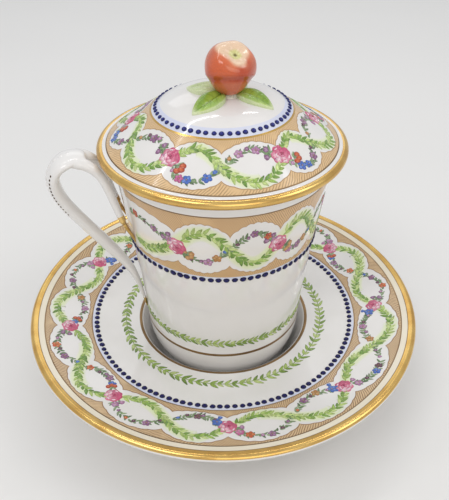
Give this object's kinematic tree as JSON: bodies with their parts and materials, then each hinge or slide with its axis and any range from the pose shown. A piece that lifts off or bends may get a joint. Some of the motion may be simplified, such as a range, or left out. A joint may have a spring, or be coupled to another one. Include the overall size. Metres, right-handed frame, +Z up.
{
  "type": "chocolate cup",
  "caption": "Covered porcelain chocolate cup with a tapering body, one forked strap handle, a domed lid with a fruit finial, and a saucer with a deep well that holds the cup.",
  "frame": {"origin": "on the common axis of saucer, cup and lid, in the plane of the saucer's foot ring", "axes": "+Z up along the common axis; the handle points along -X; +Y completes the right-handed frame"},
  "size_m": [0.15, 0.15, 0.1294],
  "materials": {
    "cup": "glossy white glaze with enamel painting and gilding",
    "lid": "glossy white glaze with enamel painting and gilding",
    "saucer": "glossy white glaze with enamel painting and gilding"
  },
  "bodies": {
    "root": {"cup": "cup", "lid": "lid", "saucer": "saucer"}
  },
  "joints": []
}
